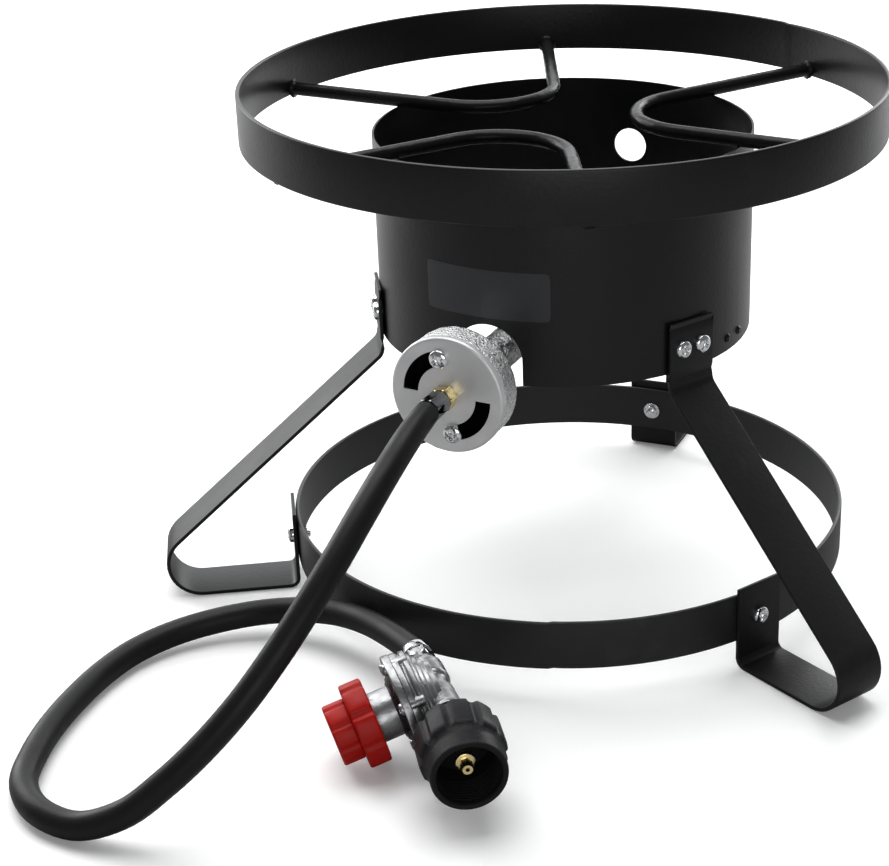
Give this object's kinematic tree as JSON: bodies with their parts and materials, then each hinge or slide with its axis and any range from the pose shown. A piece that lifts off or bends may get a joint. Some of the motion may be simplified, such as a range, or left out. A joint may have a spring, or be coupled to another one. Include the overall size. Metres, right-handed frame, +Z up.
{
  "type": "outdoor gas burner stand",
  "caption": "Round outdoor gas burner stand with strap legs, wind guard, cast burner with air shutter, and a hose with an adjustable regulator.",
  "frame": {"origin": "where the common axis of the two rings and the wind guard meets the floor", "axes": "+Z up along the rings' axis, the burner neck points to the -Y side and slightly to -X, and the right leg points between +X and -Y"},
  "size_m": [0.4725, 0.5489, 0.304],
  "materials": {
    "black_coat": "satin black powder coat on steel bar and rod",
    "guard_coat": "satin black powder coat on sheet steel",
    "leg_coat": "satin black powder coat on strap steel",
    "bright_zinc": "bright zinc plating",
    "rough_casting": "rough sand casting with silver paint",
    "cap_iron": "bare dark cast iron",
    "shutter_steel": "dull zinc plated sheet steel",
    "brass": "machined brass",
    "dark_chrome": "plated crimped sleeve",
    "hose_rubber": "black rubber hose with fine lengthwise ribs",
    "seal_rubber": "black sealing rubber",
    "die_cast_zinc": "bright die-cast zinc, slightly rough",
    "red_plastic": "moulded red plastic",
    "black_plastic": "moulded black plastic"
  },
  "bodies": {
    "stand": {"top_ring": "black_coat", "pot_rod_right": "black_coat", "pot_rod_back": "black_coat", "pot_rod_front": "black_coat", "rod_welds": "black_coat", "wind_guard": "guard_coat", "base_ring": "black_coat", "leg_right": "leg_coat", "leg_back": "leg_coat", "leg_left": "leg_coat", "guard_screws": "bright_zinc", "guard_nuts": "bright_zinc", "base_screws": "bright_zinc", "base_nuts": "bright_zinc", "burner_casting": "rough_casting", "burner_cap": "cap_iron", "cap_screw": "bright_zinc", "burner_bar": "guard_coat", "bar_rivets": "guard_coat", "head_bolt": "bright_zinc", "shutter_screws": "bright_zinc", "orifice_fitting": "brass", "burner_ferrule": "dark_chrome", "hose": "hose_rubber", "tail_ferrule": "die_cast_zinc", "regulator_body": "die_cast_zinc", "diaphragm": "seal_rubber", "regulator_cover": "die_cast_zinc", "cover_screws": "bright_zinc", "spring_plate": "bright_zinc", "reg_spring": "bright_zinc", "inlet_nipple": "brass", "nipple_seal": "seal_rubber"},
    "shutter": {"air_shutter": "shutter_steel"},
    "knob": {"control_knob": "red_plastic", "knob_screw": "bright_zinc"},
    "coupling": {"coupling_nut": "black_plastic"}
  },
  "joints": [
    {"name": "shutter_turn", "type": "hinge", "parent": "stand", "child": "shutter", "pos_m": [0, 0, 0.17095], "axis": [-0.3907, -0.9205, 0], "range_deg": [-70, 0]},
    {"name": "knob_turn", "type": "hinge", "parent": "stand", "child": "knob", "pos_m": [-0.085, -0.227, 0.0302], "axis": [-0.915, -0.3022, -0.2672], "range_deg": [-360, 540]},
    {"name": "coupling_spin", "type": "hinge", "parent": "stand", "child": "coupling", "pos_m": [-0.05925, -0.25324, 0.03532], "axis": [0.2116, -0.9773, -0.0106], "continuous": true}
  ]
}
